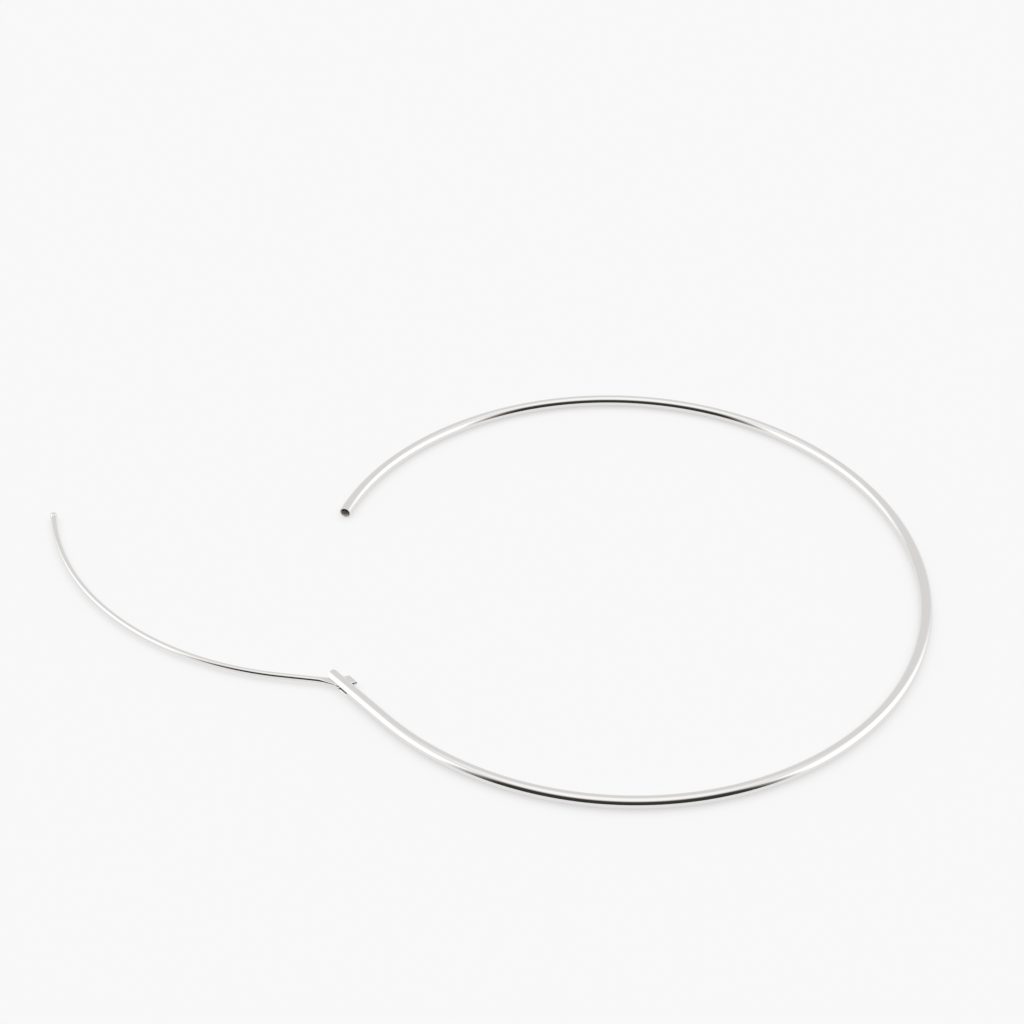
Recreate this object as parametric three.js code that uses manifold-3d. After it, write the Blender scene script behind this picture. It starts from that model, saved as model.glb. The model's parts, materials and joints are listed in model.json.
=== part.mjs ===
// Large hinged hoop earring, lying flat with its ear wire swung open.
// Millimetres, +Z up. The hoop lies on z = 0 and the earring's middle is over the origin.
//
// A thin polished tube is bent to a round hoop with a gap. One end is an open mouth. The other
// end is slotted in the plane of the hoop: its two jaws hold the flattened end of the ear wire
// on a small rivet. The wire swings in the plane of the hoop and springs into the mouth.

import * as THREE from 'three';
import { mergeVertices } from 'three/addons/utils/BufferGeometryUtils.js';
import Module from 'manifold-3d';

// ---- Hoop tube ----
const HOOP_RADIUS = 47;          // centreline of the round part
const TUBE_DIAMETER = 2.0;
const TUBE_WALL = 0.18;
const TUBE_SIDES = 16;
const BORE_SIDES = 12;
const HINGE_STRAIGHT = 12.6;     // the hinge end of the tube is straight for this long
const STRAIGHT_FROM_DEG = 221.9; // where the straight end leaves the round, seen from above
const ROUND_LENGTH = 226.67;
const MOUTH_LENGTH = 18;         // the last stretch before the mouth curls in a little
const MOUTH_RADIUS = 44;
const TUBE_STEPS = 96;
const BORE_OVERRUN = 0.5;        // the bore is cut past both ends of the tube

// ---- Hinge ----
const PIVOT_FROM_END = 2.1;      // rivet to the end of the tube
const SLOT_LENGTH = 4.8;
const SLOT_HEIGHT = 0.75;
const SLOT_OVERRUN = 1;          // the saw comes in from beyond the end
const JAW_END_RADIUS = 1.15;     // the jaws' ends are filed round, seen from above
const JAW_END_STEPS = 16;
const RIVET_DIAMETER = 0.6;
const RIVET_HOLE = 0.66;
const RIVET_SIDES = 16;

// ---- Ear wire ----
const WIRE_DIAMETER = 0.95;
const WIRE_SIDES = 12;
const WIRE_STEPS = 48;
const WIRE_STRAIGHT = 9;         // straight from the rivet
const WIRE_FREE_LENGTH = 32.5;
const WIRE_FREE_RADIUS = 48.8;
const WIRE_INNER_LENGTH = 25.6;  // the stretch that goes into the tube
const WIRE_INNER_RADIUS = 46.9;
const WIRE_CLOSED_HEADING = 107.3; // its direction at the rivet when the hoop is shut
const WIRE_OPEN_DEG = 64.4;      // how far it is swung open here

const BLADE_THICKNESS = 0.55;    // the flattened end of the wire
const BLADE_HALF_WIDTH = 0.96;
const BLADE_BEND_DEG = 24.6;     // from the wire to the blade, which lies along the shut tube
const BLADE_SHORT_SIDE = 1.5;    // behind the rivet, towards the middle of the hoop
const BLADE_LONG_SIDE = 2.36;    // behind the rivet, on the outer side
const BLADE_CORNER = 0.25;
const BLADE_OUTER_FRONT = 0.6;   // its straight outer edge ends this far in front of the rivet
const BLADE_INNER_FRONT = 0.5;
const BLADE_SHOULDER = 0.1;      // how far the outer bend stands out past the wire
const BLADE_CORNER_STEPS = 5;
const NECK_START = 1.5;
const NECK_ROUND = 3.0;          // the neck has the wire's full diameter from here
const NECK_END = 3.4;            // the round wire starts here
const NECK_OVERLAP = 0.2;
const NECK_INSET = 0.02;         // the neck starts this far under the blade's faces
const TIP_BEAD_LENGTH = 1.3;
const TIP_BEAD_DIAMETER = 1.22;
const TIP_BEAD_SEGMENTS = 16;
const TIP_BEAD_RINGS = 10;

const SILVER = { color: 0xd9d7d3, metalness: 1.0, roughness: 0.08 };

// A bent length of tube or wire in the XY plane: stretches of arc, one after another. A
// positive radius turns left, a negative one turns right, and Infinity is straight.
class BentLength extends THREE.Curve {
  constructor(start, headingDeg, bends) {
    super();
    this.start = start;
    this.heading = THREE.MathUtils.degToRad(headingDeg);
    this.bends = bends;
    this.total = bends.reduce((sum, bend) => sum + bend.length, 0);
  }

  getPoint(t, target = new THREE.Vector3()) {
    let left = t * this.total;
    let heading = this.heading;
    target.copy(this.start);
    for (const bend of this.bends) {
      const run = Math.min(left, bend.length);
      const turn = run / bend.radius;
      const chord = turn === 0 ? run : 2 * bend.radius * Math.sin(turn / 2);
      target.x += chord * Math.cos(heading + turn / 2);
      target.y += chord * Math.sin(heading + turn / 2);
      heading += turn;
      left -= run;
      if (left <= 0) break;
    }
    return target;
  }
}

const wasm = await Module();
wasm.setup();

function toSolid(geometry) {
  const bare = geometry.index ? geometry.toNonIndexed() : geometry.clone();
  bare.deleteAttribute('normal');
  bare.deleteAttribute('uv');
  const merged = mergeVertices(bare, 1e-5);
  return new wasm.Manifold(new wasm.Mesh({
    numProp: 3,
    vertProperties: new Float32Array(merged.attributes.position.array),
    triVerts: new Uint32Array(merged.index.array),
  }));
}

function toGeometry(solid) {
  const mesh = solid.getMesh();
  const geometry = new THREE.BufferGeometry();
  geometry.setAttribute('position', new THREE.BufferAttribute(mesh.vertProperties, 3));
  geometry.setIndex(new THREE.BufferAttribute(mesh.triVerts, 1));
  geometry.computeVertexNormals();
  return geometry;
}

// A round section with flats, not corners, at its top, bottom and sides.
function flatSidedCircle(acrossFlats, sides) {
  const cornerRadius = acrossFlats / 2 / Math.cos(Math.PI / sides);
  const corners = [];
  for (let i = 0; i < sides; i += 1) {
    const angle = (2 * Math.PI * (i + 0.5)) / sides;
    corners.push(new THREE.Vector2(cornerRadius * Math.cos(angle), cornerRadius * Math.sin(angle)));
  }
  return new THREE.Shape(corners);
}

function sweep(path, diameter, sides, steps) {
  const section = flatSidedCircle(diameter, sides);
  return new THREE.ExtrudeGeometry(section, { steps, extrudePath: path });
}

// A plate of the given outline, lying flat and centred on z = 0.
function plate(outline, thickness, curveSegments) {
  const geometry = new THREE.ExtrudeGeometry(outline, {
    depth: thickness,
    bevelEnabled: false,
    curveSegments,
  });
  geometry.translate(0, 0, -thickness / 2);
  return geometry;
}

// An upright pin centred on z = 0.
function pin(diameter, height) {
  const geometry = new THREE.CylinderGeometry(diameter / 2, diameter / 2, height, RIVET_SIDES);
  geometry.rotateX(Math.PI / 2);
  return geometry;
}

// ---- Where the tube's ends and the rivet are, from the centre of the round ----
const straightFrom = THREE.MathUtils.degToRad(STRAIGHT_FROM_DEG);
const intoTube = new THREE.Vector3(-Math.sin(straightFrom), Math.cos(straightFrom), 0);
const tubeHeading = STRAIGHT_FROM_DEG + 90;
const roundStart = new THREE.Vector3(Math.cos(straightFrom), Math.sin(straightFrom), 0)
  .multiplyScalar(HOOP_RADIUS);
const tubeEnd = roundStart.clone().addScaledVector(intoTube, -HINGE_STRAIGHT);
const pivot = tubeEnd.clone().addScaledVector(intoTube, PIVOT_FROM_END);

function hoopTubeSolid() {
  const path = new BentLength(tubeEnd, tubeHeading, [
    { length: HINGE_STRAIGHT, radius: Infinity },
    { length: ROUND_LENGTH, radius: HOOP_RADIUS },
    { length: MOUTH_LENGTH, radius: MOUTH_RADIUS },
  ]);
  const boreStart = tubeEnd.clone().addScaledVector(intoTube, -BORE_OVERRUN);
  const borePath = new BentLength(boreStart, tubeHeading, [
    { length: HINGE_STRAIGHT + BORE_OVERRUN, radius: Infinity },
    { length: ROUND_LENGTH, radius: HOOP_RADIUS },
    { length: MOUTH_LENGTH + BORE_OVERRUN, radius: MOUTH_RADIUS },
  ]);
  const outside = toSolid(sweep(path, TUBE_DIAMETER, TUBE_SIDES, TUBE_STEPS));
  const bore = toSolid(sweep(borePath, TUBE_DIAMETER - 2 * TUBE_WALL, BORE_SIDES, TUBE_STEPS));
  const slot = toSolid(hingeSlot());
  const rivetHole = toSolid(pin(RIVET_HOLE, 2 * TUBE_DIAMETER).translate(pivot.x, pivot.y, 0));
  const waste = toSolid(jawEndWaste());
  return outside.subtract(bore).subtract(slot).subtract(waste).subtract(rivetHole);
}

// Moves a shape from beside the origin, where +X goes into the tube, to the tube's hinge end.
function atTubeEnd(geometry) {
  geometry.rotateZ(THREE.MathUtils.degToRad(tubeHeading));
  return geometry.translate(tubeEnd.x, tubeEnd.y, 0);
}

// What is filed off the square end of the tube to make it round.
function jawEndWaste() {
  const outline = new THREE.Shape();
  outline.moveTo(JAW_END_RADIUS, -TUBE_DIAMETER);
  outline.lineTo(JAW_END_RADIUS, -JAW_END_RADIUS);
  outline.absarc(JAW_END_RADIUS, 0, JAW_END_RADIUS, 1.5 * Math.PI, 0.5 * Math.PI, true);
  outline.lineTo(JAW_END_RADIUS, TUBE_DIAMETER);
  outline.lineTo(-TUBE_DIAMETER, TUBE_DIAMETER);
  outline.lineTo(-TUBE_DIAMETER, -TUBE_DIAMETER);
  return atTubeEnd(plate(outline, 2 * TUBE_DIAMETER, JAW_END_STEPS));
}

// The saw cut that parts the end of the tube into its two jaws.
function hingeSlot() {
  const cut = new THREE.BoxGeometry(SLOT_LENGTH + SLOT_OVERRUN, 2 * TUBE_DIAMETER, SLOT_HEIGHT);
  return atTubeEnd(cut.translate((SLOT_LENGTH - SLOT_OVERRUN) / 2, 0, 0));
}

// The wire is modelled from its rivet, heading along +X, and curves to the right.
function earWireSolid() {
  const start = new THREE.Vector3(NECK_END, 0, 0);
  const bends = [
    { length: WIRE_STRAIGHT - NECK_END, radius: Infinity },
    { length: WIRE_FREE_LENGTH, radius: -WIRE_FREE_RADIUS },
    { length: WIRE_INNER_LENGTH, radius: -WIRE_INNER_RADIUS },
  ];
  const path = new BentLength(start, 0, bends);
  const round = toSolid(sweep(path, WIRE_DIAMETER, WIRE_SIDES, WIRE_STEPS));
  const tip = path.getPoint(1);
  return round
    .add(toSolid(wireNeck()))
    .add(toSolid(plate(bladeOutline(), BLADE_THICKNESS, BLADE_CORNER_STEPS)))
    .add(toSolid(tipBead(tip)))
    .subtract(toSolid(pin(RIVET_HOLE, TUBE_DIAMETER)));
}

// The flattened end: a blunt tail behind the rivet, in line with the tube when the hoop is
// shut, and in front of the rivet a bend that narrows to the wire.
function bladeOutline() {
  const bend = THREE.MathUtils.degToRad(BLADE_BEND_DEG);
  const back = new THREE.Vector2(-Math.cos(bend), -Math.sin(bend));
  const inward = new THREE.Vector2(Math.sin(bend), -Math.cos(bend));
  const at = (behind, across) => {
    return back.clone().multiplyScalar(behind).addScaledVector(inward, across);
  };
  const half = BLADE_HALF_WIDTH;
  const wire = WIRE_DIAMETER / 2;
  const outerBend = new THREE.Vector2(NECK_START, wire + BLADE_SHOULDER);
  const innerBend = at(-half, half);

  const outline = new THREE.Shape();
  const cornerTo = (corner, end) => outline.quadraticCurveTo(corner.x, corner.y, end.x, end.y);
  const lineTo = (end) => outline.lineTo(end.x, end.y);
  outline.moveTo(NECK_END, wire);
  cornerTo(outerBend, at(-BLADE_OUTER_FRONT, -half));
  lineTo(at(BLADE_LONG_SIDE - BLADE_CORNER, -half));
  cornerTo(at(BLADE_LONG_SIDE, -half), at(BLADE_LONG_SIDE, -half + BLADE_CORNER));
  lineTo(at(BLADE_SHORT_SIDE, half - BLADE_CORNER));
  cornerTo(at(BLADE_SHORT_SIDE, half), at(BLADE_SHORT_SIDE - BLADE_CORNER, half));
  lineTo(at(-BLADE_INNER_FRONT, half));
  cornerTo(innerBend, new THREE.Vector2(NECK_END, -wire));
  return outline;
}

// The taper from the blade's thickness to the round wire.
function wireNeck() {
  const profile = [
    new THREE.Vector2(0, NECK_START),
    new THREE.Vector2(BLADE_THICKNESS / 2 - NECK_INSET, NECK_START),
    new THREE.Vector2(WIRE_DIAMETER / 2, NECK_ROUND),
    new THREE.Vector2(WIRE_DIAMETER / 2, NECK_END + NECK_OVERLAP),
    new THREE.Vector2(0, NECK_END + NECK_OVERLAP),
  ];
  const neck = new THREE.LatheGeometry(profile, WIRE_SIDES);
  neck.rotateZ(-Math.PI / 2);
  return neck;
}

function tipBead(at) {
  const radius = TIP_BEAD_DIAMETER / 2;
  const bead = new THREE.SphereGeometry(radius, TIP_BEAD_SEGMENTS, TIP_BEAD_RINGS);
  bead.scale(1, TIP_BEAD_LENGTH / TIP_BEAD_DIAMETER, 1);
  const turned = (WIRE_FREE_LENGTH / WIRE_FREE_RADIUS) + (WIRE_INNER_LENGTH / WIRE_INNER_RADIUS);
  bead.rotateZ(-Math.PI / 2 - turned);
  bead.translate(at.x, at.y, at.z);
  return bead;
}

function silverMesh(name, geometry) {
  const mesh = new THREE.Mesh(geometry, new THREE.MeshStandardMaterial(SILVER));
  mesh.name = name;
  return mesh;
}

function buildEarring() {
  const earring = new THREE.Group();

  earring.add(silverMesh('hoop_tube', toGeometry(hoopTubeSolid())));

  const rivet = silverMesh('hinge_rivet', pin(RIVET_DIAMETER, TUBE_DIAMETER));
  rivet.position.copy(pivot);
  earring.add(rivet);

  const hinge = new THREE.Group();
  hinge.position.copy(pivot);
  hinge.rotation.z = THREE.MathUtils.degToRad(WIRE_CLOSED_HEADING + WIRE_OPEN_DEG);
  hinge.add(silverMesh('ear_wire', toGeometry(earWireSolid())));
  earring.add(hinge);

  // The whole earring lies on z = 0 with its middle over the origin.
  const box = new THREE.Box3().setFromObject(earring, true);
  const middle = box.getCenter(new THREE.Vector3());
  earring.position.set(-middle.x, -middle.y, -box.min.z);
  return earring;
}

export default buildEarring();
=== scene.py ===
# %% [markdown]
# # Hinged hoop earring
# This is a large hoop earring of polished silver tube. One end of the tube is an open mouth.
# The other end is slotted, and its two jaws hold the flattened end of a thin ear wire on a
# rivet. The earring lies flat with its wire swung open.
#
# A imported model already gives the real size, the hinge and the two bodies that move against
# each other. Its surfaces are faceted, which is right for collision but shows as stripes on
# polished metal. So each piece is made again below with a round surface, in the same place
# and inside the same box, and rides on the body it belongs to.

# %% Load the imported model
import json
import math

import bmesh
import bpy
from mathutils import Matrix, Vector


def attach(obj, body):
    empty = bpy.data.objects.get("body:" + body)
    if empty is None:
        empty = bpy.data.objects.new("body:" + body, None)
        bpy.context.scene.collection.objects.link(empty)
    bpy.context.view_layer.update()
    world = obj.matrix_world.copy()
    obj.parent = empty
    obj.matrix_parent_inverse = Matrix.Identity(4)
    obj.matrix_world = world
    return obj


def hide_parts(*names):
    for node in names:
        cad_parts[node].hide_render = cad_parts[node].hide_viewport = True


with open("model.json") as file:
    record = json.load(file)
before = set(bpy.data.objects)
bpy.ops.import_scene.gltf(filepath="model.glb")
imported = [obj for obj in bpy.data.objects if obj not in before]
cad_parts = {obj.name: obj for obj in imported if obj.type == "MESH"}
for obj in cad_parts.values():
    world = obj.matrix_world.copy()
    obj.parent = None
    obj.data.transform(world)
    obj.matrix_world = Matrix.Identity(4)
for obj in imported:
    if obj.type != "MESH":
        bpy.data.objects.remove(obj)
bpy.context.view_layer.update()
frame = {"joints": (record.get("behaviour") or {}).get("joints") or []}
hinge = next(joint for joint in frame["joints"] if joint["name"] == "wire_hinge")
pivot = Vector(hinge["pos_m"])

# %% [markdown]
# ## Lengths and lines
# A jeweller bends the hoop and the wire from straight stock, so each is a line made of
# stretches: straight, or an arc of some radius. A curve object with a bevel could draw such a
# line, but its section can't change from a round wire to a flat blade. Here the line is a
# list of points with a heading at each, and a ring of vertices is drawn along it.

# %% A line made of stretches
MM = 0.001
STRAIGHT = math.inf


def in_mm(point):
    """A point in millimetres, short enough to print."""
    return tuple(round(c / MM, 2) for c in point)


def heading_vector(heading):
    """The unit vector of a heading in the plane of the hoop."""
    return Vector((math.cos(heading), math.sin(heading), 0))


def stretch(point, heading, length, radius, steps):
    """Points and headings along one arc, without its start. A positive radius turns left."""
    line = []
    for step in range(1, steps + 1):
        run = length * step / steps
        turn = run / radius
        chord = run if radius == STRAIGHT else 2 * radius * math.sin(turn / 2)
        line.append((point + chord * heading_vector(heading + turn / 2), heading + turn))
    return line


def line_from(point, heading, *stretches):
    """A whole line. Each stretch gives its length, its radius and its number of steps."""
    line = [(point, heading)]
    for length, radius, steps in stretches:
        line += stretch(*line[-1], length, radius, steps)
    return line


quarter_turn = line_from(Vector(), 0, (MM * math.pi / 2, MM, 1))
print("a quarter turn with a radius of 1 mm ends at", in_mm(quarter_turn[-1][0]), "mm")

# %% [markdown]
# ## Drawing a ring along a line
# A unit circle is placed across the line by a matrix, which also gives the ring its half
# width and half height. Extruding the ring's edges and moving the new ring to the next place
# makes one band of faces. Spin would do for the arcs, but one way for every stretch keeps the
# rings of the straight and the bent parts alike.

# %% The place of a ring
def ring_place(point, heading, half_width, half_height):
    """The matrix that puts a unit circle across a line at a point."""
    turned = Matrix.Rotation(heading, 4, "Z") @ Matrix.Rotation(math.pi / 2, 4, "Y")
    sized = Matrix.Diagonal((half_height, half_width, 1, 1))
    return Matrix.Translation(point) @ turned @ sized


def flatten_ring(vertices, half_height):
    """Presses a ring flat above and below the middle plane of the earring."""
    for vertex in vertices:
        low, high = pivot.z - half_height, pivot.z + half_height
        vertex.co.z = min(max(vertex.co.z, low), high)


ring_side = ring_place(Vector(), 0, MM, MM) @ Vector((0, 1, 0))
print("a ring with a radius of 1 mm has one side at", in_mm(ring_side), "mm")


# %% Rings along a line
def vertices_in(geometry):
    return [item for item in geometry if isinstance(item, bmesh.types.BMVert)]


def edges_in(geometry):
    return [item for item in geometry if isinstance(item, bmesh.types.BMEdge)]


def draw_rings(bm, places, sides, closed_start, flats=None):
    """Draws a ring through all the places, and returns the edges of the last ring.
    flats gives the half height that each ring is pressed to."""
    made = bmesh.ops.create_circle(
        bm, cap_ends=closed_start, cap_tris=closed_start,
        radius=1, segments=sides, matrix=places[0],
    )
    edges = [edge for edge in bm.edges if edge.is_boundary or not edge.link_faces]
    for index in range(1, len(places)):
        grown = bmesh.ops.extrude_edge_only(bm, edges=edges)["geom"]
        move = places[index] @ places[index - 1].inverted()
        bmesh.ops.transform(bm, matrix=move, verts=vertices_in(grown))
        if flats:
            flatten_ring(vertices_in(grown), flats[index])
        edges = edges_in(grown)
    print("drew", len(places), "rings of", len(made["verts"]), "vertices")
    return edges


# %% [markdown]
# ## From a mesh to a finished object
# The faces are turned outwards before any modifier is added, because a wall grows inwards
# from them. Smooth shading hides that a bent tube is made of small flat faces. Sharp edges
# are rounded by a Bevel modifier: a bevel in the mesh would do too, but the modifier finds
# them by their angle, and it also finds the rims that another modifier makes.

# %% Finishing helpers
MERGE_DISTANCE = 0.0001 * MM
SHARP_ANGLE = math.radians(50)


def silver_object(name, bm, materials):
    """Turns the normals outwards and makes the finished mesh an object at the origin."""
    bmesh.ops.remove_doubles(bm, verts=bm.verts, dist=MERGE_DISTANCE)
    bmesh.ops.recalc_face_normals(bm, faces=bm.faces)
    for face in bm.faces:
        face.smooth = True
    mesh = bpy.data.meshes.new(name)
    bm.to_mesh(mesh)
    bm.free()
    for material in materials:
        mesh.materials.append(material)
    piece = bpy.data.objects.new(name, mesh)
    bpy.context.scene.collection.objects.link(piece)
    print(name, "has", len(mesh.polygons), "faces before its modifiers")
    return piece


def round_edges(piece, width, segments):
    """Rounds the sharp edges, as polishing does."""
    bevel = piece.modifiers.new("rounded_edges", "BEVEL")
    bevel.width = width
    bevel.segments = segments
    bevel.limit_method = "ANGLE"
    bevel.angle_limit = SHARP_ANGLE
    bevel.harden_normals = True
    print(piece.name, "is rounded by", round(width / MM, 3), "mm")


# %% [markdown]
# ## Materials
# The outside is polished silver: a metal with a low roughness and a nearly white colour. A
# mirror-perfect surface looks like glass or chrome paint, so the roughness varies a little
# where the buffing wheel went, and a slight waviness bends the reflections. The inside of the
# tube was never polished and is darker and dull, so it has a material of its own.

# %% Node helpers
def linear(hex_colour):
    """An sRGB hex colour as the linear colour that a shader takes, by the sRGB formula."""
    channels = [int(hex_colour[i:i + 2], 16) / 255 for i in (1, 3, 5)]
    return [c / 12.92 if c <= 0.04045 else ((c + 0.055) / 1.055) ** 2.4 for c in channels] + [1]


def add_node(tree, kind, inputs=None, **settings):
    """Adds a node. Each input is a value, or the output that feeds it."""
    node = tree.nodes.new(kind)
    for name, value in settings.items():
        setattr(node, name, value)
    for name, value in (inputs or {}).items():
        if isinstance(value, bpy.types.NodeSocket):
            tree.links.new(value, node.inputs[name])
        else:
            node.inputs[name].default_value = value
    return node


def new_material(name):
    """A new material, its node tree, and its Principled shader joined to the output."""
    material = bpy.data.materials.new(name)
    material.use_nodes = True
    tree = material.node_tree
    tree.nodes.clear()
    shader = add_node(tree, "ShaderNodeBsdfPrincipled")
    add_node(tree, "ShaderNodeOutputMaterial", {"Surface": shader.outputs["BSDF"]})
    print("new material", name)
    return material, tree, shader


def noise_of_size(tree, size, detail):
    """Noise with features of about this size, fixed to the object."""
    where = add_node(tree, "ShaderNodeTexCoord").outputs["Object"]
    return add_node(
        tree, "ShaderNodeTexNoise", {"Vector": where, "Scale": 1 / size, "Detail": detail},
    ).outputs["Fac"]


# %% Polished silver
# A buffed surface reflects sharply and has soft patches where the wheel pressed less. Real
# buffing marks are too fine to show on so large a hoop, so the patches are drawn coarser.
SILVER_COLOUR = "#e9e7e5"
BUFFING_SIZE = 1.5 * MM
BUFFING_DETAIL = 3
NOISE_LOW, NOISE_HIGH = 0.3, 0.7       # nearly all of the noise lies between these
ROUGHNESS_LOW, ROUGHNESS_HIGH = 0.05, 0.11
WAVINESS_SIZE = 4 * MM
WAVINESS_HEIGHT = 0.012 * MM

polished_silver, tree, shader = new_material("polished_silver")
shader.inputs["Base Color"].default_value = linear(SILVER_COLOUR)
shader.inputs["Metallic"].default_value = 1
buffing = add_node(tree, "ShaderNodeMapRange", {
    "Value": noise_of_size(tree, BUFFING_SIZE, BUFFING_DETAIL),
    "From Min": NOISE_LOW, "From Max": NOISE_HIGH,
    "To Min": ROUGHNESS_LOW, "To Max": ROUGHNESS_HIGH,
})
waviness = add_node(tree, "ShaderNodeBump", {
    "Height": noise_of_size(tree, WAVINESS_SIZE, detail=0),
    "Strength": 1, "Distance": WAVINESS_HEIGHT,
})
tree.links.new(buffing.outputs["Result"], shader.inputs["Roughness"])
tree.links.new(waviness.outputs["Normal"], shader.inputs["Normal"])
print("roughness from", ROUGHNESS_LOW, "to", ROUGHNESS_HIGH)

# %% Unpolished silver
# A drawn tube keeps a dull grey skin inside, so it hardly reflects and looks only partly
# metallic.
INSIDE_COLOUR = "#b8b3ae"
INSIDE_METALLIC = 0.3
INSIDE_ROUGHNESS = 0.7

unpolished_silver, tree, shader = new_material("unpolished_silver_inside")
shader.inputs["Base Color"].default_value = linear(INSIDE_COLOUR)
shader.inputs["Metallic"].default_value = INSIDE_METALLIC
shader.inputs["Roughness"].default_value = INSIDE_ROUGHNESS

# %% [markdown]
# ## The hoop's tube
# The tube is straight for a short way at the hinge, then round, and it curls in slightly just
# before the mouth. It is drawn as a thin shell from the hinge end to the mouth. A solid tube
# with the bore cut out of it would do too, but a shell is simpler to slot and to file.

# %% Sizes of the tube
TUBE_RADIUS = 0.98 * MM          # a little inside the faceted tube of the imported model
TUBE_SIDES = 64
STRAIGHT_FROM = math.radians(221.9)
HOOP_RADIUS = 47 * MM
HINGE_STRAIGHT = 12.6 * MM
ROUND_LENGTH = 226.67 * MM
MOUTH_LENGTH = 18 * MM
MOUTH_RADIUS = 44 * MM
PIVOT_FROM_END = 2.1 * MM
SLOT_LENGTH = 4.8 * MM

tube_heading = STRAIGHT_FROM + math.pi / 2
into_tube = heading_vector(tube_heading)
tube_end = pivot - PIVOT_FROM_END * into_tube
tube_line = line_from(
    tube_end, tube_heading,
    (SLOT_LENGTH, STRAIGHT, 6),
    (HINGE_STRAIGHT - SLOT_LENGTH, STRAIGHT, 8),
    (ROUND_LENGTH, HOOP_RADIUS, 270),
    (MOUTH_LENGTH, MOUTH_RADIUS, 22),
)
print("the mouth is at", in_mm(tube_line[-1][0]), "mm")

# %% Shell of the tube
tube_mesh = bmesh.new()
places = [ring_place(point, heading, TUBE_RADIUS, TUBE_RADIUS) for point, heading in tube_line]
draw_rings(tube_mesh, places, TUBE_SIDES, closed_start=False)

# %% [markdown]
# ## The slot and the jaws
# A saw cut along the middle plane turns the hinge end into two jaws. One stretch of the line
# ends where the slot does, so the slot is opened by taking away whole faces, and needs no
# boolean. The jaws' ends are then filed round, as usual on such a hinge. Each stroke of the
# file is one bisect of the faces near the tube's end only, because a flat plane goes on and
# would also cut the far side of the hoop.

# %% Saw the slot
SLOT_HALF_HEIGHT = 0.375 * MM


def in_slot(face):
    middle = face.calc_center_median()
    from_end = (middle - tube_end).length
    return from_end < SLOT_LENGTH and abs(middle.z - pivot.z) < SLOT_HALF_HEIGHT


cut_out = [face for face in tube_mesh.faces if in_slot(face)]
bmesh.ops.delete(tube_mesh, geom=cut_out, context="FACES")
print("the slot took", len(cut_out), "faces away")

# %% File the jaws round
JAW_END_RADIUS = 1.15 * MM
FILE_REACH = 1.3 * JAW_END_RADIUS
FILE_STROKES = 17


def file_stroke(bm, centre, angle):
    """Cuts off what lies outside one flat plane that touches the circle of the jaws."""
    outward = heading_vector(tube_heading + math.pi + angle)
    near = [face for face in bm.faces
            if (face.calc_center_median() - centre).length < FILE_REACH]
    edges = {edge for face in near for edge in face.edges}
    vertices = {vertex for face in near for vertex in face.verts}
    bmesh.ops.bisect_plane(
        bm, geom=near + list(edges) + list(vertices), clear_outer=True,
        plane_co=centre + JAW_END_RADIUS * outward, plane_no=outward,
    )


for stroke in range(FILE_STROKES):
    file_stroke(
        tube_mesh, centre=tube_end + JAW_END_RADIUS * into_tube,
        angle=math.pi * ((stroke + 0.5) / FILE_STROKES - 0.5),
    )
print("filed with", FILE_STROKES, "strokes")

# %% [markdown]
# ## The wall and the rims
# The Solidify modifier gives the shell its wall, inwards, and so makes the rims of the mouth,
# the slot and the jaws as well. The inner wall takes the second material. The rims are then
# rounded a little, because polishing never leaves a sharp one.

# %% Wall and rims
TUBE_WALL = 0.18 * MM
RIM_ROUNDING = 0.045 * MM

tube = silver_object("silver_hoop_tube", tube_mesh, [polished_silver, unpolished_silver])
wall = tube.modifiers.new("wall", "SOLIDIFY")
wall.thickness = TUBE_WALL
wall.offset = -1
wall.use_even_offset = True
wall.material_offset = 1
round_edges(tube, RIM_ROUNDING, segments=2)
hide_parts("hoop_tube")
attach(tube, "hoop")

# %% [markdown]
# ## The ear wire
# The wire is thin and round, with a small bead at its tip that the mouth of the tube grips.
# Its other end was hammered flat and bent to lie along the tube when the hoop is shut. A
# separate blade would leave a seam, so the ring that draws the wire is widened and pressed
# flat as it nears the rivet. It is drawn from the tip, because a ring that was pressed flat
# doesn't become round again.

# %% Sizes of the ear wire
WIRE_RADIUS = 0.475 * MM
WIRE_SIDES = 40
WIRE_HEADING = math.radians(171.7)
WIRE_STRAIGHT = 9 * MM
WIRE_FREE_LENGTH = 32.5 * MM
WIRE_FREE_RADIUS = -48.8 * MM
WIRE_INNER_LENGTH = 25.6 * MM
WIRE_INNER_RADIUS = -46.9 * MM
NECK_END = 3.4 * MM

forward = heading_vector(WIRE_HEADING)
wire_line = line_from(
    pivot + NECK_END * forward, WIRE_HEADING,
    (WIRE_STRAIGHT - NECK_END, STRAIGHT, 6),
    (WIRE_FREE_LENGTH, WIRE_FREE_RADIUS, 44),
    (WIRE_INNER_LENGTH, WIRE_INNER_RADIUS, 36),
)
tip, tip_heading = wire_line[-1]
print("the wire's tip is at", in_mm(tip), "mm")

# %% [markdown]
# The bead is an ellipsoid, so its rings follow from one angle: the cosine gives the ring's
# size and the sine its place along the wire. The first ring is just short of the pole, where
# its size would be nothing, and the last is where the bead meets the wire's surface.

# %% Rings of the bead and the round wire
BEAD_RADIUS = 0.6 * MM
BEAD_HALF_LENGTH = 0.65 * MM
BEAD_RINGS = 14
BEAD_FIRST_ANGLE = math.radians(89)

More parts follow.
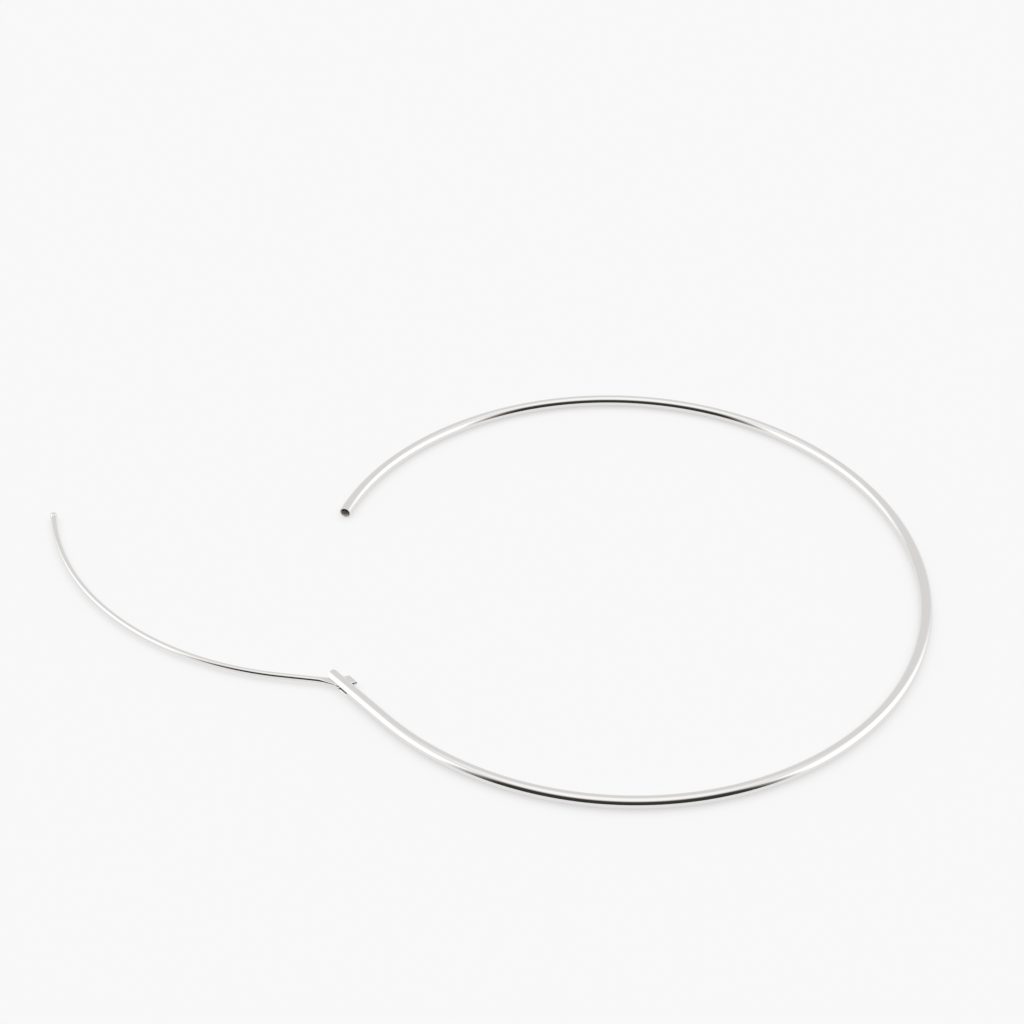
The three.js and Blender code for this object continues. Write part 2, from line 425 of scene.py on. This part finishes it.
places, flats = [], []
bead_last_angle = math.acos(WIRE_RADIUS / BEAD_RADIUS)
for step in range(BEAD_RINGS):
    share = (BEAD_FIRST_ANGLE + bead_last_angle) * step / (BEAD_RINGS - 1)
    angle = BEAD_FIRST_ANGLE - share
    middle = tip + BEAD_HALF_LENGTH * math.sin(angle) * heading_vector(tip_heading)
    size = BEAD_RADIUS * math.cos(angle)
    places.append(ring_place(middle, tip_heading, size, size))
    flats.append(BEAD_RADIUS)
for point, heading in reversed(wire_line[:-1]):
    places.append(ring_place(point, heading, WIRE_RADIUS, WIRE_RADIUS))
    flats.append(WIRE_RADIUS)
print(len(places), "rings so far")

# %% [markdown]
# The blade's two side lines set its rings: each ring reaches from a point on the outer line to
# the matching point on the inner line. In front of the rivet both lines are smooth bends that
# end on the wire's sides. Behind it they are straight and end in a slanted, blunt tail.

# %% Sizes of the blade
BLADE_HALF_WIDTH = 0.96 * MM
BLADE_HALF_THICKNESS = 0.275 * MM
BLADE_BEND = math.radians(24.6)
BLADE_SHORT_SIDE = 1.5 * MM
BLADE_LONG_SIDE = 2.36 * MM
OUTER_FRONT = 0.6 * MM           # the straight side lines end this far in front of the rivet
INNER_FRONT = 0.5 * MM

blade_heading = WIRE_HEADING + BLADE_BEND
blade_forward = heading_vector(blade_heading)
blade_left = heading_vector(blade_heading + math.pi / 2)


def on_blade(ahead, across):
    return pivot + ahead * blade_forward + across * blade_left


def add_blade_ring(outer, inner, half_thickness):
    """A ring from the outer side line to the inner one. All are as high as the wire and
    are pressed to the half thickness."""
    across = outer - inner
    heading = math.atan2(across.y, across.x) - math.pi / 2
    middle = (outer + inner) / 2
    places.append(ring_place(middle, heading, across.length / 2, WIRE_RADIUS))
    flats.append(half_thickness)


print("the blade's tail is at", in_mm(on_blade(-BLADE_LONG_SIDE, BLADE_HALF_WIDTH)), "mm")

# %% Rings of the neck
NECK_STEPS = 10
SHOULDER_AHEAD = 1.5 * MM        # the corner that the outer line bends round
SHOULDER_ACROSS = 0.575 * MM
PRESSING = 2.1                   # the neck is fully flat after 1 / 2.1 of its length

left = heading_vector(WIRE_HEADING + math.pi / 2)


def bend(start, corner, end, t):
    """A point on the smooth bend from start to end that the corner pulls on."""
    return start * (1 - t) ** 2 + corner * 2 * t * (1 - t) + end * t ** 2


neck_outer = pivot + NECK_END * forward + WIRE_RADIUS * left
neck_inner = pivot + NECK_END * forward - WIRE_RADIUS * left
outer_front = on_blade(OUTER_FRONT, BLADE_HALF_WIDTH)
inner_front = on_blade(INNER_FRONT, -BLADE_HALF_WIDTH)
outer_corner = pivot + SHOULDER_AHEAD * forward + SHOULDER_ACROSS * left
inner_corner = on_blade(BLADE_HALF_WIDTH, -BLADE_HALF_WIDTH)
for step in range(1, NECK_STEPS + 1):
    t = step / NECK_STEPS
    pressed = min(1, PRESSING * t)
    pressed = pressed * pressed * (3 - 2 * pressed)      # starts and ends gently
    add_blade_ring(
        bend(neck_outer, outer_corner, outer_front, t),
        bend(neck_inner, inner_corner, inner_front, t),
        WIRE_RADIUS + (BLADE_HALF_THICKNESS - WIRE_RADIUS) * pressed,
    )
print(len(places), "rings with the neck")

# %% Rings of the tail
TAIL_STEPS = 4

for step in range(1, TAIL_STEPS + 1):
    t = step / TAIL_STEPS
    add_blade_ring(
        on_blade(OUTER_FRONT - (OUTER_FRONT + BLADE_LONG_SIDE) * t, BLADE_HALF_WIDTH),
        on_blade(INNER_FRONT - (INNER_FRONT + BLADE_SHORT_SIDE) * t, -BLADE_HALF_WIDTH),
        BLADE_HALF_THICKNESS,
    )
print(len(places), "rings in all")

# %% Ear wire
BLADE_ROUNDING = 0.09 * MM

wire_mesh = bmesh.new()
tail_edges = draw_rings(wire_mesh, places, WIRE_SIDES, closed_start=True, flats=flats)
bmesh.ops.edgeloop_fill(wire_mesh, edges=tail_edges)
wire = silver_object("silver_ear_wire", wire_mesh, [polished_silver])
round_edges(wire, BLADE_ROUNDING, segments=3)
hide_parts("ear_wire")
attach(wire, "wire")

# %% [markdown]
# ## The rivet
# A short pin joins the two jaws through the blade. Its ends are filed almost flush with the
# tube, so a cylinder with softly rounded rims is enough.

# %% Rivet
RIVET_RADIUS = 0.3 * MM
RIVET_LENGTH = 1.98 * MM
RIVET_SIDES = 40
RIVET_ROUNDING = 0.06 * MM

rivet_mesh = bmesh.new()
bmesh.ops.create_cone(
    rivet_mesh, cap_ends=True, cap_tris=False, segments=RIVET_SIDES, radius1=RIVET_RADIUS,
    radius2=RIVET_RADIUS, depth=RIVET_LENGTH, matrix=Matrix.Translation(pivot),
)
rivet = silver_object("silver_rivet", rivet_mesh, [polished_silver])
round_edges(rivet, RIVET_ROUNDING, segments=3)
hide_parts("hinge_rivet")
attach(rivet, "hoop")

# %% [markdown]
# ## The floor
# The floor glows evenly, and this glow is painted light: it lifts the shadow, so the floor
# stays pale right up to the metal and only a faint shadow is left. A plain white floor would
# need much more light from above, which the silver would show. So the floor glows, scatters a
# little of what falls on it, and doesn't shine.

# %% Floor
FLOOR_COLOUR = "#676767"
# The floor's glow is painted light that lightens the floor and its shadow; the floor is no
# lamp.
FLOOR_PAINTED_GLOW = 0.66
FLOOR_SIZE = 6

floor_material, tree, shader = new_material("floor_painted_glow")
shader.inputs["Base Color"].default_value = linear(FLOOR_COLOUR)
shader.inputs["Emission Color"].default_value = (1, 1, 1, 1)
shader.inputs["Emission Strength"].default_value = FLOOR_PAINTED_GLOW
shader.inputs["Roughness"].default_value = 1
shader.inputs["Specular IOR Level"].default_value = 0
floor_bmesh = bmesh.new()
bmesh.ops.create_grid(floor_bmesh, x_segments=1, y_segments=1, size=FLOOR_SIZE / 2)
floor_mesh = bpy.data.meshes.new("floor")
floor_bmesh.to_mesh(floor_mesh)
floor_bmesh.free()
floor_mesh.materials.append(floor_material)
floor = bpy.data.objects.new("floor", floor_mesh)
bpy.context.scene.collection.objects.link(floor)
print("floor of", FLOOR_SIZE, "m")

# %% [markdown]
# ## The lamp
# One very wide lamp hangs straight above, and gives the short soft shadow. A sun of 90
# degrees does this without a place or a distance to set. Polished metal would show it as a
# large pale disc, so reflections don't see it, and the room below gives them their shapes.

# %% Overhead lamp
LAMP_POWER = 3.86
LAMP_WIDTH = math.radians(90)

lamp_data = bpy.data.lights.new("overhead_lamp", "SUN")
lamp_data.energy = LAMP_POWER
lamp_data.angle = LAMP_WIDTH
lamp = bpy.data.objects.new("overhead_lamp", lamp_data)
lamp.visible_glossy = False
bpy.context.scene.collection.objects.link(lamp)
print("lamp", round(math.degrees(LAMP_WIDTH)), "degrees wide")

# %% [markdown]
# ## The room
# A polished metal shows the room more than itself. So the room is drawn in the world's nodes
# by direction: a pale ceiling, a bright screen on each side, and a dark opening on the side
# of the camera. Area lights could be the screens, but each would need a place, and a dark
# opening can't be made with lights. The camera itself sees an even, pale background.

# %% Light of the room
CEILING_LOW, CEILING_HIGH = 0.82, 1.16
SCREEN_LIGHT = 1.30
OPENING_LIGHT = 0.04
BACKGROUND_LIGHT = 0.939

# Where each begins and ends, in degrees: heights are above the horizon, and turns are to
# either side from straight towards the camera.
CEILING_HEIGHT = (50, 80)
SCREEN_NEAR_TURN = (46, 64)
SCREEN_FAR_TURN = (110, 134)
SCREEN_HEIGHT = (44, 62)
OPENING_TURN = (40, 62)
OPENING_HEIGHT = (44, 70)

world = bpy.data.worlds.new("studio")
bpy.context.scene.world = world
world.use_nodes = True
tree = world.node_tree
tree.nodes.clear()
direction = add_node(tree, "ShaderNodeTexCoord").outputs["Generated"]
xyz = add_node(tree, "ShaderNodeSeparateXYZ", {"Vector": direction})
print("the room is drawn by direction in", world.name)


# %% Helpers for light
def math_node(operation, *values):
    node = add_node(tree, "ShaderNodeMath", dict(enumerate(values)), operation=operation)
    return node.outputs["Value"]


def fade(value, from_to_degrees, start_level, end_level):
    """A smooth change from one level to another as an angle goes from start to end."""
    start, end = from_to_degrees
    return add_node(tree, "ShaderNodeMapRange", {
        "Value": value,
        "From Min": math.radians(start), "From Max": math.radians(end),
        "To Min": start_level, "To Max": end_level,
    }, interpolation_type="SMOOTHSTEP").outputs["Result"]


def blend_light(share, light, other):
    """light where share is 1, and other where it is 0."""
    more = math_node("MULTIPLY", share, math_node("SUBTRACT", light, other))
    return math_node("ADD", other, more)


towards_camera = math_node("MULTIPLY", xyz.outputs["Y"], -1)
turn = math_node("ABSOLUTE", math_node("ARCTAN2", xyz.outputs["X"], towards_camera))
height = math_node("ARCSINE", xyz.outputs["Z"])
print("nodes for the direction:", len(tree.nodes))

# %% Ceiling, screens and opening
ceiling = fade(height, CEILING_HEIGHT, CEILING_LOW, CEILING_HIGH)
screen_turn = math_node(
    "MULTIPLY", fade(turn, SCREEN_NEAR_TURN, 0, 1), fade(turn, SCREEN_FAR_TURN, 1, 0),
)
screen = math_node("MULTIPLY", screen_turn, fade(height, SCREEN_HEIGHT, 1, 0))
opening = math_node(
    "MULTIPLY", fade(turn, OPENING_TURN, 1, 0), fade(height, OPENING_HEIGHT, 1, 0),
)
room = blend_light(opening, OPENING_LIGHT, blend_light(screen, SCREEN_LIGHT, ceiling))
seen = add_node(tree, "ShaderNodeLightPath").outputs["Is Camera Ray"]
background = add_node(tree, "ShaderNodeBackground", {
    "Color": (1, 1, 1, 1), "Strength": blend_light(seen, BACKGROUND_LIGHT, room),
})
add_node(tree, "ShaderNodeOutputWorld", {"Surface": background.outputs["Background"]})
bpy.context.scene.view_settings.view_transform = "Standard"
print("world nodes:", len(tree.nodes))

# %% [markdown]
# ## The camera
# The camera looks down at the earring from in front at about 39 degrees and close by, so the
# near edge of the hoop looks thicker than the far one. It is aimed at a point beside the
# middle of the hoop and turned a fraction about its own axis.

# %% Camera
CAMERA_ELEVATION = math.radians(39.076)
CAMERA_DISTANCE = 0.31757
CAMERA_AIM = Vector((0.004888, 0.016149, 0.001))
CAMERA_ROLL = 0.0032             # radians
CAMERA_LENS = 68.81
NEAREST_SEEN = 0.01

camera_data = bpy.data.cameras.new("camera")
camera_data.lens = CAMERA_LENS
camera_data.clip_start = NEAREST_SEEN
camera = bpy.data.objects.new("camera", camera_data)
bpy.context.scene.collection.objects.link(camera)
tilt = Matrix.Rotation(math.pi / 2 - CAMERA_ELEVATION, 4, "X")
roll = Matrix.Rotation(CAMERA_ROLL, 4, "Z")
back = Vector((0, -math.cos(CAMERA_ELEVATION), math.sin(CAMERA_ELEVATION)))
camera.matrix_world = Matrix.Translation(CAMERA_AIM + CAMERA_DISTANCE * back) @ tilt @ roll
bpy.context.scene.camera = camera
print("camera at", tuple(round(c, 4) for c in camera.matrix_world.translation))
